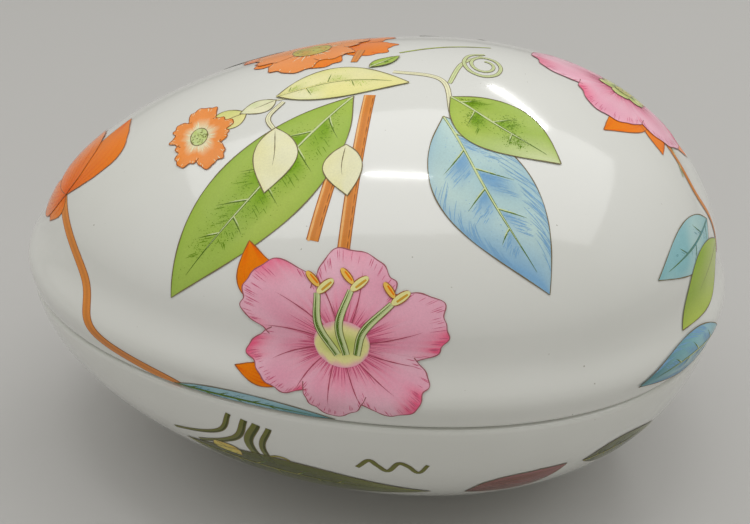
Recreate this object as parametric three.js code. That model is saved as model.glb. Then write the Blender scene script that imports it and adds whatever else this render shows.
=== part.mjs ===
// Egg-shaped porcelain trinket box lying on its side, in two loose pieces: a base and a lid.
// Units are millimetres and +Z is up. The origin is under the middle of the box on the plane
// the foot ring stands on; the blunt end of the egg points along +X, the pointed end along -X.
import * as THREE from 'three';

// ---- overall egg -------------------------------------------------------------------------
const HALF_LENGTH = 87.5;        // half of the egg's length at the seam
const HALF_WIDTH = 64.4;         // half width in the middle of the length
const LID_RISE = 54.0;           // seam to crown in the middle of the length
const BASE_DROP = 57.5;          // seam to the bottom the base would have without its foot
const SEAM_HEIGHT = 54.0;        // seam plane above the table
const WIDTH_TAPER = 0.122;       // how much wider the egg is towards +X
const WIDTH_SWELL = 0.039;       // fullness of both ends in plan
const HEIGHT_TAPER = 0.158;      // how much taller the egg is towards +X
const HEIGHT_SWELL = 0.042;      // fullness of both ends in side view

// ---- walls and seam ----------------------------------------------------------------------
const LID_WALL = 3.6;
const BASE_WALL = 4.0;
const SEAM_GAP = 0.3;            // air between the two lands that rest on each other
const LID_EDGE_RADIUS = 1.6;     // the lid's lower edge tucks under
const BASE_EDGE_RADIUS = 1.2;    // the base's upper edge is softened
const BASE_PROUD = 0.25;         // the base's edge stands out from the nominal egg

// ---- the lid's flared lip: a convex roll with a hollow waist above it -------------------
const LIP_ROLL_OUT = 1.25;
const LIP_ROLL_HEIGHT = 6.8;
const LIP_ROLL_SPREAD = 4.4;
const LIP_WAIST_IN = 0.8;
const LIP_WAIST_HEIGHT = 15.0;
const LIP_WAIST_SPREAD = 5.5;

// ---- the base's locating flange ----------------------------------------------------------
const FLANGE_CLEARANCE = 0.5;    // flange to the lid's inner wall, all round
const FLANGE_THICKNESS = 2.0;
const FLANGE_HEIGHT = 5.0;       // above the seam
const FLANGE_EDGE_RADIUS = 0.7;
const FLANGE_FADE_DEPTH = 14.0;  // below the seam the flange has merged into the wall

// ---- the foot ring -----------------------------------------------------------------------
const FOOT_STEP = 2.2;           // the ring's height below the egg surface
const FOOT_SETBACK = 0.35;       // the ring's face stands this far inside the egg surface
const FOOT_LAND = 2.4;           // width of the ring the box stands on
const FOOT_EDGE_RADIUS = 0.6;
const FOOT_RECESS = 2.6;         // the underside inside the ring is raised by this much
const FLOOR_THICKNESS = 4.0;
const FLOOR_FLAT_SHARE = 0.86;   // share of the floor's half size that is flat
const FLOOR_MIDDLE_SHARE = 0.45; // an extra row halfway out keeps the floor's triangles even
const FLOOR_FILLET_RISE = 3.0;

// ---- mesh density ------------------------------------------------------------------------
const AROUND = 60;
const DOME_ROWS = 14;
const INNER_DOME_ROWS = 9;
const BELLY_ROWS = 11;
const INNER_BELLY_ROWS = 8;
const EDGE_ROWS = 3;
const LIP_ROWS = 10;
const INNER_WALL_ROWS = 3;
const INNER_WALL_TOP = 10;       // height where the lid's inner dome rows begin
const FLOOR_FILLET_ROWS = 2;
const FLANGE_BLEND_ROWS = 3;
const FLANGE_EDGE_ROWS = 2;
const LATITUDE_PASSES = 12;

const HALF_PI = Math.PI / 2;

// Half axes of the egg reduced by an even wall: up is true for the lid's half.
function shell(inset, up) {
  return {
    a: HALF_LENGTH - inset,
    b: HALF_WIDTH - inset,
    c: (up ? LID_RISE : BASE_DROP) - inset,
    side: up ? 1 : -1,
  };
}

// A point of the egg surface at one longitude and latitude, relative to the seam plane.
function eggPoint(half, longitude, latitude) {
  const u = -Math.cos(latitude) * Math.cos(longitude);
  const v = Math.cos(latitude) * Math.sin(longitude);
  const w = Math.sin(latitude);
  const wide = 1 + WIDTH_TAPER * u + WIDTH_SWELL * u * u;
  const tall = 1 + HEIGHT_TAPER * u + HEIGHT_SWELL * u * u;
  return [half.a * u, half.b * v * wide, half.side * half.c * w * tall];
}

// The latitude at which the surface is a given height from the seam plane.
function latitudeAt(half, longitude, rise) {
  let latitude = 0;
  for (let pass = 0; pass < LATITUDE_PASSES; pass += 1) {
    const u = -Math.cos(latitude) * Math.cos(longitude);
    const tall = 1 + HEIGHT_TAPER * u + HEIGHT_SWELL * u * u;
    latitude = Math.asin(Math.min(1, rise / (half.c * tall)));
  }
  return latitude;
}

// Outward direction of the plan outline.
function planNormal(longitude) {
  const x = -Math.cos(longitude) / HALF_LENGTH;
  const y = Math.sin(longitude) / HALF_WIDTH;
  const size = Math.hypot(x, y);
  return [x / size, y / size];
}

// One closed row of points; place(longitude) gives each of them.
function ring(place) {
  const points = [];
  for (let i = 0; i < AROUND; i += 1) {
    points.push(place((i / AROUND) * 2 * Math.PI));
  }
  return points;
}

// A row at one height, following the egg and moved out along the plan normal.
function levelRing(half, rise, outward) {
  return ring((longitude) => {
    const latitude = latitudeAt(half, longitude, Math.max(0, rise));
    const [x, y] = eggPoint(half, longitude, latitude);
    const [nx, ny] = planNormal(longitude);
    return [x + nx * outward, y + ny * outward, half.side * rise];
  });
}

// Rows from one height on to the pole; the last entry is the pole itself.
function domeRings(half, startRise, rows, outwardAt) {
  const list = [];
  for (let row = 1; row < rows; row += 1) {
    const share = row / rows;
    list.push(ring((longitude) => {
      const first = latitudeAt(half, longitude, startRise);
      const latitude = first + (HALF_PI - first) * share;
      const [x, y, z] = eggPoint(half, longitude, latitude);
      const [nx, ny] = planNormal(longitude);
      const out = outwardAt(Math.abs(z));
      return [x + nx * out, y + ny * out, z];
    }));
  }
  list.push([[0, 0, half.side * half.c]]);
  return list;
}

// How far the lid's outer face stands out of the nominal egg, by height above the seam.
function lipOutward(rise) {
  const roll = Math.exp(-(((rise - LIP_ROLL_HEIGHT) / LIP_ROLL_SPREAD) ** 2));
  const waist = Math.exp(-(((rise - LIP_WAIST_HEIGHT) / LIP_WAIST_SPREAD) ** 2));
  return LIP_ROLL_OUT * roll - LIP_WAIST_IN * waist;
}

// Quarter-round steps: each entry is [inset, advance] from the flat land to the side face.
function quarterRound(radius, rows) {
  const steps = [];
  for (let i = 0; i <= rows; i += 1) {
    const angle = (i / rows) * HALF_PI;
    steps.push([radius * (1 - Math.sin(angle)), radius * (1 - Math.cos(angle))]);
  }
  return steps;
}

// Skin a list of rows, first and last of which may be single points, into one closed mesh.
function skin(rows, lift) {
  const positions = [];
  const starts = [];
  for (const row of rows) {
    starts.push(positions.length / 3);
    for (const [x, y, z] of row) {
      positions.push(x, y, z + lift);
    }
  }
  const faces = [];
  for (let r = 0; r + 1 < rows.length; r += 1) {
    const upper = rows[r].length;
    const lower = rows[r + 1].length;
    for (let j = 0; j < AROUND; j += 1) {
      const next = (j + 1) % AROUND;
      const a = starts[r] + (upper === 1 ? 0 : j);
      const b = starts[r] + (upper === 1 ? 0 : next);
      const c = starts[r + 1] + (lower === 1 ? 0 : next);
      const d = starts[r + 1] + (lower === 1 ? 0 : j);
      if (a !== b) {
        faces.push(a, b, c);
      }
      if (c !== d) {
        faces.push(a, c, d);
      }
    }
  }
  const geometry = new THREE.BufferGeometry();
  geometry.setAttribute('position', new THREE.Float32BufferAttribute(positions, 3));
  geometry.setIndex(faces);
  geometry.computeVertexNormals();
  return geometry;
}

// ---- lid: crown, lip, land, inner wall ---------------------------------------------------
function lidRows() {
  const outer = shell(0, true);
  const inner = shell(LID_WALL, true);
  const land = SEAM_GAP / 2;
  const lipTop = LIP_WAIST_HEIGHT + LIP_WAIST_SPREAD / 2;
  const edgeTop = land + LID_EDGE_RADIUS;
  const rows = domeRings(outer, lipTop, DOME_ROWS, lipOutward).reverse();
  for (let row = 0; row < LIP_ROWS; row += 1) {
    const rise = lipTop + (edgeTop - lipTop) * (row / LIP_ROWS);
    rows.push(levelRing(outer, rise, lipOutward(rise)));
  }
  for (const [inset, advance] of quarterRound(LID_EDGE_RADIUS, EDGE_ROWS).reverse()) {
    const rise = land + advance;
    rows.push(levelRing(outer, rise, lipOutward(rise) - inset));
  }
  for (let row = 0; row <= INNER_WALL_ROWS; row += 1) {
    const rise = land + (INNER_WALL_TOP - land) * (row / INNER_WALL_ROWS);
    rows.push(levelRing(inner, rise, 0));
  }
  rows.push(...domeRings(inner, INNER_WALL_TOP, INNER_DOME_ROWS, () => 0));
  return rows;
}

// ---- base: floor, inner wall, flange, land, outer wall, foot ring, underside -------------
function baseRows() {
  const outer = shell(0, false);
  const inner = shell(BASE_WALL, false);
  const land = SEAM_GAP / 2;
  const flangeInset = FLANGE_CLEARANCE + LID_WALL;
  const flangeOuter = shell(flangeInset, true);
  const flangeInner = shell(flangeInset + FLANGE_THICKNESS, true);
  const flangeSwell = flangeInset + FLANGE_THICKNESS - BASE_WALL;
  const underside = SEAM_HEIGHT - FOOT_RECESS;
  const floor = underside - FLOOR_THICKNESS;
  const footTop = SEAM_HEIGHT - FOOT_STEP;
  const rows = [[[0, 0, -floor]]];

  // flat floor, then a fillet that runs into the inner wall
  const wallStart = floor - FLOOR_FILLET_RISE;
  const floorRing = (share, depth) => ring((longitude) => {
    const [x, y] = eggPoint(inner, longitude, latitudeAt(inner, longitude, wallStart));
    return [x * share, y * share, -depth];
  });
  rows.push(floorRing(FLOOR_MIDDLE_SHARE, floor));
  for (let row = 0; row < FLOOR_FILLET_ROWS; row += 1) {
    const angle = (row / FLOOR_FILLET_ROWS) * HALF_PI;
    const share = FLOOR_FLAT_SHARE + (1 - FLOOR_FLAT_SHARE) * Math.sin(angle);
    rows.push(floorRing(share, floor - FLOOR_FILLET_RISE * (1 - Math.cos(angle))));
  }
  for (let row = 0; row <= INNER_BELLY_ROWS; row += 1) {
    const share = Math.sin((row / INNER_BELLY_ROWS) * HALF_PI);
    rows.push(levelRing(inner, wallStart + (FLANGE_FADE_DEPTH - wallStart) * share, 0));
  }
  for (let row = 1; row <= FLANGE_BLEND_ROWS; row += 1) {
    const share = row / FLANGE_BLEND_ROWS;
    const swell = share * share * (3 - 2 * share);
    rows.push(levelRing(inner, FLANGE_FADE_DEPTH * (1 - share), -flangeSwell * swell));
  }

  // flange: up its inner face, over its rounded top, down its outer face
  const shoulder = FLANGE_HEIGHT - FLANGE_EDGE_RADIUS;
  rows.push(levelRing(flangeInner, shoulder, 0));
  for (const [inset, advance] of quarterRound(FLANGE_EDGE_RADIUS, FLANGE_EDGE_ROWS).reverse().slice(1)) {
    rows.push(levelRing(flangeInner, FLANGE_HEIGHT - advance, inset));
  }
  for (const [inset, advance] of quarterRound(FLANGE_EDGE_RADIUS, FLANGE_EDGE_ROWS)) {
    rows.push(levelRing(flangeOuter, FLANGE_HEIGHT - advance, -inset));
  }
  rows.push(ring((longitude) => {
    const [x, y] = eggPoint(flangeOuter, longitude, 0);
    return [x, y, -land];
  }));

  // land and softened edge, then the belly down to the foot
  for (const [inset, advance] of quarterRound(BASE_EDGE_RADIUS, EDGE_ROWS)) {
    rows.push(levelRing(outer, land + advance, BASE_PROUD - inset));
  }
  const bellyStart = land + BASE_EDGE_RADIUS;
  for (let row = 1; row <= BELLY_ROWS; row += 1) {
    const share = Math.sin((row / BELLY_ROWS) * HALF_PI);
    const depth = bellyStart + (footTop - bellyStart) * share;
    rows.push(levelRing(outer, depth, BASE_PROUD * (1 - share)));
  }

  // foot ring and raised underside
  const footAt = (outward, depth) => ring((longitude) => {
    const latitude = latitudeAt(outer, longitude, footTop);
    const [x, y] = eggPoint(outer, longitude, latitude);
    const [nx, ny] = planNormal(longitude);
    return [x + nx * outward, y + ny * outward, -depth];
  });
  const landEdge = -FOOT_LAND - FOOT_EDGE_RADIUS;
  rows.push(footAt(-FOOT_SETBACK, SEAM_HEIGHT - FOOT_EDGE_RADIUS));
  rows.push(footAt(-FOOT_SETBACK - FOOT_EDGE_RADIUS, SEAM_HEIGHT));
  rows.push(footAt(landEdge, SEAM_HEIGHT));
  rows.push(footAt(landEdge - FOOT_EDGE_RADIUS, SEAM_HEIGHT - FOOT_EDGE_RADIUS));
  rows.push(footAt(landEdge - 2 * FOOT_EDGE_RADIUS, underside));
  rows.push([[0, 0, -underside]]);
  return rows;
}

function piece(name, rows, material) {
  const mesh = new THREE.Mesh(skin(rows, SEAM_HEIGHT), material);
  mesh.name = name;
  return mesh;
}

const porcelain = new THREE.MeshStandardMaterial({
  color: 0xe6e7e1,
  roughness: 0.12,
  metalness: 0,
});

const box = new THREE.Group();
box.name = 'egg_box';
box.add(piece('base', baseRows(), porcelain));
box.add(piece('lid', lidRows(), porcelain));

export default box;
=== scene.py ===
"""Egg-shaped porcelain trinket box with fired flower transfers, in a plain studio."""
import math

import bpy
import numpy as np
from mathutils import Matrix, Vector


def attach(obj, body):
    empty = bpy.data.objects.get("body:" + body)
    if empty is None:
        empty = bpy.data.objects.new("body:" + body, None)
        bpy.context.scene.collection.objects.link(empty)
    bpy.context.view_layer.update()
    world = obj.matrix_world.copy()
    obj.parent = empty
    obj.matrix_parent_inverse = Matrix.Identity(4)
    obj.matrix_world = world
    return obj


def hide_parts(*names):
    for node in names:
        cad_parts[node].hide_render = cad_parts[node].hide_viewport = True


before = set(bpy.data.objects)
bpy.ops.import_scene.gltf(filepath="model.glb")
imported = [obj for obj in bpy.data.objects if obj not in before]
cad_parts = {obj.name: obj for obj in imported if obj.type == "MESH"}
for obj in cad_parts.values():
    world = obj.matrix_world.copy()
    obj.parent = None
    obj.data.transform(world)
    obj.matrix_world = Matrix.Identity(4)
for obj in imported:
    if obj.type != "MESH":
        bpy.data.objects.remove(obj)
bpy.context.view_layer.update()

MM = 0.001

# ---- the egg, in millimetres: the same driving sizes as the CAD part ----
HALF_LENGTH = 87.5
HALF_WIDTH = 64.4
LID_RISE = 54.0
BASE_DROP = 57.5
SEAM_HEIGHT = 54.0
WIDTH_TAPER = 0.122
WIDTH_SWELL = 0.039
HEIGHT_TAPER = 0.158
HEIGHT_SWELL = 0.042

LID_WALL = 3.6
BASE_WALL = 4.0
LAND = 0.15
LID_EDGE_RADIUS = 1.6
BASE_EDGE_RADIUS = 1.2
BASE_PROUD = 0.25

LIP_ROLL_OUT = 1.25
LIP_ROLL_HEIGHT = 6.8
LIP_ROLL_SPREAD = 4.4
LIP_WAIST_IN = 0.8
LIP_WAIST_HEIGHT = 15.0
LIP_WAIST_SPREAD = 5.5

FLANGE_CLEARANCE = 0.5
FLANGE_THICKNESS = 2.0
FLANGE_HEIGHT = 5.0
FLANGE_EDGE_RADIUS = 0.7
FLANGE_FADE_DEPTH = 14.0

FOOT_STEP = 2.2
FOOT_LAND = 2.4
FOOT_EDGE_RADIUS = 0.6
FOOT_RECESS = 2.6
FLOOR_THICKNESS = 4.0
FLOOR_FILLET_SPAN = 0.86
FLOOR_FILLET_RISE = 3.0
FOOT_SET_IN = 0.35
FOOT_FLARE = 0.25

# ---- how finely the shells are meshed --------------------
AROUND = 240
DOME_ROWS = 56
LIP_STEP = 0.5
LID_EDGE_STEPS = 8
LID_WALL_HEIGHTS = (2.0, 5.0, 8.0, 11.0)
FLOOR_RINGS = (0.3, 0.6)
FLOOR_FILLET_STEPS = 6
INNER_WALL_ROWS = 26
FLANGE_BLEND_STEPS = 11
FLANGE_EDGE_STEPS = 5
BASE_EDGE_STEPS = 7
BELLY_ROWS = 44
FOOT_EDGE_STEPS = 4
LATITUDE_PASSES = 14
SLOPE_STEP = 2e-4
NEAR_VERTICAL = 0.9

# ---- how the transfers are laid over the glaze, in millimetres ----
FIRST_LIFT = 0.045
LAYER_LIFT = 0.013
CHART_LIMIT = 0.981
INK_WIDTH = 0.2
BROAD_PEN = 0.5
BROAD_PEN_COLUMNS = 6
CELL = 0.62
SAMPLES = 160
FLOW_STEPS = 14
STEPS_PER_UNIT = 2.5


def unit(vectors):
    """Vectors scaled to length one."""
    size = np.linalg.norm(vectors, axis=-1, keepdims=True)
    return vectors / np.maximum(size, 1e-12)


# ---- the egg surface -------------------------------------
class Half:
    """Half axes of the lid's or the base's half of the egg, less an even wall."""

    def __init__(self, inset, up):
        self.a = HALF_LENGTH - inset
        self.b = HALF_WIDTH - inset
        self.c = (LID_RISE if up else BASE_DROP) - inset
        self.side = 1 if up else -1


def widen(u):
    return 1 + WIDTH_TAPER * u + WIDTH_SWELL * u * u


def heighten(u):
    return 1 + HEIGHT_TAPER * u + HEIGHT_SWELL * u * u


def on_egg(half, direction):
    """Points of a half egg, seam plane at zero, for unit directions with +z away from the seam."""
    u, v, w = direction[..., 0], direction[..., 1], direction[..., 2]
    return np.stack(
        [half.a * u, half.b * v * widen(u), half.side * half.c * w * heighten(u)], axis=-1
    )


def plan_normal(direction):
    plan = np.stack([direction[..., 0] / HALF_LENGTH, direction[..., 1] / HALF_WIDTH], axis=-1)
    return unit(plan)


def lip_out(rise):
    """How far the lid's face stands out of the plain egg at a height above the seam."""
    roll = np.exp(-(((rise - LIP_ROLL_HEIGHT) / LIP_ROLL_SPREAD) ** 2))
    waist = np.exp(-(((rise - LIP_WAIST_HEIGHT) / LIP_WAIST_SPREAD) ** 2))
    return LIP_ROLL_OUT * roll - LIP_WAIST_IN * waist


def edge_inset(rise, radius):
    """How far a quarter-round edge falls back, by distance from the seam plane."""
    share = np.clip((LAND + radius - rise) / radius, 0, 1)
    return radius * (1 - np.sqrt(1 - share**2))


LID_OUTER = Half(0, True)
BASE_OUTER = Half(0, False)
FOOT_TOP = SEAM_HEIGHT - FOOT_STEP


def lid_skin(direction):
    point = on_egg(LID_OUTER, direction)
    rise = point[..., 2]
    out = lip_out(rise) - edge_inset(rise, LID_EDGE_RADIUS)
    point[..., :2] += plan_normal(direction) * out[..., None]
    return point


def base_skin(direction):
    point = on_egg(BASE_OUTER, direction)
    depth = -point[..., 2]
    out = BASE_PROUD * np.clip(1 - depth / FOOT_TOP, 0, 1) - edge_inset(depth, BASE_EDGE_RADIUS)
    point[..., :2] += plan_normal(direction) * out[..., None]
    return point


SKINS = {"lid": lid_skin, "base": base_skin}
HALVES = {"lid": LID_OUTER, "base": BASE_OUTER}


def skin_points(body, direction):
    """Surface points and outward normals for an array of unit directions."""
    skin = SKINS[body]
    helper = np.where(np.abs(direction[..., 2:3]) > NEAR_VERTICAL, [1.0, 0.0, 0.0], [0.0, 0.0, 1.0])
    first = unit(np.cross(helper, direction))
    second = np.cross(direction, first)
    point = skin(direction)
    first, second = SLOPE_STEP * first, SLOPE_STEP * second
    across = skin(unit(direction + first)) - skin(unit(direction - first))
    along = skin(unit(direction + second)) - skin(unit(direction - second))
    normal = unit(np.cross(across, along))
    outward = np.sign((normal * point).sum(-1, keepdims=True))
    return point, normal * outward


def to_metres(points):
    return (np.asarray(points) + [0, 0, SEAM_HEIGHT]) * MM


# ---- shells ----------------------------------------------
LONGITUDES = np.linspace(0, 2 * math.pi, AROUND, endpoint=False)


def direction_at(longitude, latitude):
    return np.stack(
        [
            -np.cos(latitude) * np.cos(longitude),
            np.cos(latitude) * np.sin(longitude),
            np.sin(latitude) * np.ones_like(longitude),
        ],
        axis=-1,
    )


def latitude_at(half, rise):
    """The latitudes at which the half egg is a given distance from the seam plane."""
    latitude = np.zeros_like(LONGITUDES)
    for _ in range(LATITUDE_PASSES):
        u = -np.cos(latitude) * np.cos(LONGITUDES)
        latitude = np.arcsin(np.clip(rise / (half.c * heighten(u)), 0, 1))
    return latitude


def level_row(half, rise, outward=0.0):
    direction = direction_at(LONGITUDES, latitude_at(half, max(0.0, rise)))
    row = on_egg(half, direction)
    row[:, :2] += plan_normal(direction) * outward
    row[:, 2] = half.side * rise
    return row


def skin_row(body, rise):
    return SKINS[body](direction_at(LONGITUDES, latitude_at(HALVES[body], rise)))


def dome_rows(surface, half, start, rows):
    """Rows from a height on to the pole, which comes last as a single point."""
    first = latitude_at(half, start)
    result = []
    for row in range(1, rows):
        latitude = first + (math.pi / 2 - first) * row / rows
        result.append(surface(direction_at(LONGITUDES, latitude)))
    result.append(np.array([[0.0, 0.0, half.side * half.c]]))
    return result


def quarter_round(radius, rows):
    """Steps of [inset, advance] from the flat end of a rounded edge to its side face."""
    angles = np.linspace(0, math.pi / 2, rows + 1)
    return [(radius * (1 - math.sin(t)), radius * (1 - math.cos(t))) for t in angles]


def lid_rows():
    inner = Half(LID_WALL, True)
    lip_top = LIP_WAIST_HEIGHT + LIP_WAIST_SPREAD
    edge_top = LAND + LID_EDGE_RADIUS
    rows = dome_rows(lid_skin, LID_OUTER, lip_top, DOME_ROWS)[::-1]
    for rise in np.arange(lip_top, edge_top, -LIP_STEP):
        rows.append(skin_row("lid", rise))
    for inset, advance in quarter_round(LID_EDGE_RADIUS, LID_EDGE_STEPS)[::-1]:
        rise = LAND + advance
        rows.append(level_row(LID_OUTER, rise, float(lip_out(rise)) - inset))
    for rise in (LAND, *LID_WALL_HEIGHTS):
        rows.append(level_row(inner, rise))

    def hollow(direction):
        return on_egg(inner, direction)

    rows += dome_rows(hollow, inner, LID_WALL_HEIGHTS[-1], DOME_ROWS // 2)
    return rows


def foot_row(outward, depth):
    direction = direction_at(LONGITUDES, latitude_at(BASE_OUTER, FOOT_TOP))
    row = on_egg(BASE_OUTER, direction)
    row[:, :2] += plan_normal(direction) * outward
    row[:, 2] = -depth
    return row


def eased(start, end, rows):
    """Depths from start to end in even turns of a quarter circle, so the last ones crowd together."""
    return [start + (end - start) * math.sin(row / rows * math.pi / 2) for row in range(1, rows + 1)]


def floor_rows(inner, floor):
    """The bowl's flat floor, then a fillet that runs into the inner wall."""
    edge = level_row(inner, floor - FLOOR_FILLET_RISE)
    rows = [np.array([[0.0, 0.0, -floor]])]
    for share in (*FLOOR_RINGS, FLOOR_FILLET_SPAN):
        rows.append(edge * [share, share, 0] - [0, 0, floor])
    for angle in np.linspace(0, math.pi / 2, FLOOR_FILLET_STEPS + 1)[1:]:
        share = FLOOR_FILLET_SPAN + (1 - FLOOR_FILLET_SPAN) * math.sin(angle)
        depth = floor - FLOOR_FILLET_RISE * (1 - math.cos(angle))
        rows.append(edge * [share, share, 0] - [0, 0, depth])
    return rows


def inner_wall_rows(inner, wall_start, swell):
    """The inner wall, which thickens smoothly towards the flange."""
    rows = [level_row(inner, depth) for depth in eased(wall_start, FLANGE_FADE_DEPTH, INNER_WALL_ROWS)]
    for share in np.linspace(0, 1, FLANGE_BLEND_STEPS + 1)[1:]:
        bulge = share * share * (3 - 2 * share)
        rows.append(level_row(inner, FLANGE_FADE_DEPTH * (1 - share), -swell * bulge))
    return rows


def flange_rows(outer, inner):
    """Up the flange's inner face, over its rounded top and down its outer face to the land."""
    rows = [level_row(inner, FLANGE_HEIGHT / 2)]
    for inset, advance in quarter_round(FLANGE_EDGE_RADIUS, FLANGE_EDGE_STEPS)[::-1]:
        rows.append(level_row(inner, FLANGE_HEIGHT - advance, inset))
    for inset, advance in quarter_round(FLANGE_EDGE_RADIUS, FLANGE_EDGE_STEPS):
        rows.append(level_row(outer, FLANGE_HEIGHT - advance, -inset))
    rows.append(level_row(outer, FLANGE_HEIGHT / 2))
    rows.append(level_row(outer, 0.0) - [0, 0, LAND])
    return rows


def belly_rows():
    """The seam's softened edge, then the outside of the base down to the foot."""
    rows = []
    for inset, advance in quarter_round(BASE_EDGE_RADIUS, BASE_EDGE_STEPS):
        rows.append(level_row(BASE_OUTER, LAND + advance, BASE_PROUD - inset))
    rows += [skin_row("base", depth) for depth in eased(LAND + BASE_EDGE_RADIUS, FOOT_TOP, BELLY_ROWS)]
    return rows


def foot_rows(underside):
    """The foot ring, and the raised underside within it."""
    outer, inner = -FOOT_SET_IN, -FOOT_LAND - FOOT_EDGE_RADIUS
    rows = [foot_row(outer + FOOT_FLARE, SEAM_HEIGHT - FOOT_STEP * 0.8)]
    rows.append(foot_row(outer, SEAM_HEIGHT - FOOT_STEP * 0.5))
    for inset, advance in quarter_round(FOOT_EDGE_RADIUS, FOOT_EDGE_STEPS)[::-1]:
        rows.append(foot_row(outer - inset, SEAM_HEIGHT - advance))
    for inset, advance in quarter_round(FOOT_EDGE_RADIUS, FOOT_EDGE_STEPS):
        rows.append(foot_row(inner - FOOT_EDGE_RADIUS + inset, SEAM_HEIGHT - advance))
    rows.append(foot_row(inner - 2 * FOOT_EDGE_RADIUS, underside))
    rows.append(np.array([[0.0, 0.0, -underside]]))
    return rows


def base_rows():
    inner = Half(BASE_WALL, False)
    flange_inset = FLANGE_CLEARANCE + LID_WALL
    flange_outer = Half(flange_inset, True)
    flange_inner = Half(flange_inset + FLANGE_THICKNESS, True)
    underside = SEAM_HEIGHT - FOOT_RECESS
    floor = underside - FLOOR_THICKNESS
    swell = flange_inset + FLANGE_THICKNESS - BASE_WALL
    rows = floor_rows(inner, floor) + inner_wall_rows(inner, floor - FLOOR_FILLET_RISE, swell)
    return rows + flange_rows(flange_outer, flange_inner) + belly_rows() + foot_rows(underside)


def shell_mesh(name, rows):
    """One closed skin through a list of rows, whose first and last are single points."""
    starts = np.cumsum([0] + [len(row) for row in rows])
    faces = []
    for r in range(len(rows) - 1):
        for j in range(AROUND):
            after = (j + 1) % AROUND
            upper = [j, after] if len(rows[r]) > 1 else [0]
            lower = [after, j] if len(rows[r + 1]) > 1 else [0]
            ring = [int(starts[r]) + k for k in upper] + [int(starts[r + 1]) + k for k in lower]
            faces.append(ring)
    mesh = bpy.data.meshes.new(name)
    mesh.from_pydata(to_metres(np.vstack(rows)).tolist(), [], faces)
    mesh.polygons.foreach_set("use_smooth", [True] * len(faces))
    piece = bpy.data.objects.new(name, mesh)
    bpy.context.collection.objects.link(piece)
    return piece


# ---- the drawing chart -----------------------------------
# A place on the lid or the base is two numbers, as seen from straight above: along the egg
# and across it, in hundredths of the way from the crown (or the foot) to the seam.
def chart_direction(points):
    places = np.asarray(points, dtype=float) / 100
    size = np.linalg.norm(places, axis=-1, keepdims=True)
    places = places * np.minimum(1, CHART_LIMIT / np.maximum(size, 1e-9))
    square = (places**2).sum(-1, keepdims=True)
    return np.concatenate([2 * places / (1 + square), (1 - square) / (1 + square)], axis=-1)


def flow(points, count):
    """A smooth curve through the points, evenly spaced."""
    run = np.array(points, dtype=float)
    steps = np.linspace(0, 1, FLOW_STEPS)[:, None]
    ends = np.vstack([2 * run[0] - run[1], run, 2 * run[-1] - run[-2]])
    dense = []
    for i in range(1, len(ends) - 2):
        p0, p1, p2, p3 = ends[i - 1], ends[i], ends[i + 1], ends[i + 2]
        slope = p2 - p0
        bend = 2 * p0 - 5 * p1 + 4 * p2 - p3
        twist = 3 * p1 - p0 - 3 * p2 + p3
        dense.append(0.5 * (2 * p1 + slope * steps + bend * steps**2 + twist * steps**3))
    return spaced(np.vstack(dense), count)


def evenly(points):
    """A smooth curve through the points with about two and a half steps to a chart unit."""
    path = flow(points, SAMPLES)
    length = np.linalg.norm(np.diff(path, axis=0), axis=1).sum()
    return spaced(path, max(16, int(length * STEPS_PER_UNIT)))


def spaced(path, count):
    """The same path with a number of evenly spaced points."""
    gaps = np.linalg.norm(np.diff(path, axis=0), axis=1)
    travel = np.concatenate([[0], np.cumsum(gaps)])
    marks = np.linspace(0, travel[-1], count)
    return np.stack([np.interp(marks, travel, path[:, i]) for i in range(path.shape[1])], axis=-1)


def colour(red, green, blue):
    """A linear colour from the 0 to 255 numbers of a paint chart."""
    part = np.array([red, green, blue]) / 255
    return np.where(part <= 0.04045, part / 12.92, ((part + 0.055) / 1.055) ** 2.4)


def blend_tint(under, over, weight):
    weight = np.clip(weight, 0, 1)[..., None]
    return under * (1 - weight) + over * weight


class Patch:
    """A painted area between two edges; u runs along both edges and v from one to the other."""

    def __init__(self, first, second):
        self.first = flow(first, SAMPLES)
        self.second = flow(second, SAMPLES)
        self.marks = np.linspace(0, 1, SAMPLES)

    def ruffle(self, waves, size, seed):
        """Waves the second edge, as the frilled rim of a petal."""
        rng = np.random.default_rng(seed)
        middle = self.first.mean(axis=0)
        outward = unit(self.second - middle)
        phase = rng.uniform(0, 2 * math.pi, 3)
        wave = np.sin(self.marks * waves * 2 * math.pi + phase[0])
        wave += 0.6 * np.sin(self.marks * waves * 3.7 * math.pi + phase[1])
        wave += 0.4 * np.sin(self.marks * waves * 6.3 * math.pi + phase[2])
        fade = np.clip(np.minimum(self.marks, 1 - self.marks) * 8, 0, 1)
        self.second = self.second + outward * (wave * fade * size)[:, None]
        return self

    def at(self, u, v):
        near = np.stack([np.interp(u, self.marks, self.first[:, i]) for i in (0, 1)], axis=-1)
        far = np.stack([np.interp(u, self.marks, self.second[:, i]) for i in (0, 1)], axis=-1)
        return near + (far - near) * np.asarray(v)[..., None]

    def outline(self):
        return np.vstack([self.first, self.second[::-1], self.first[:1]])


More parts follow.
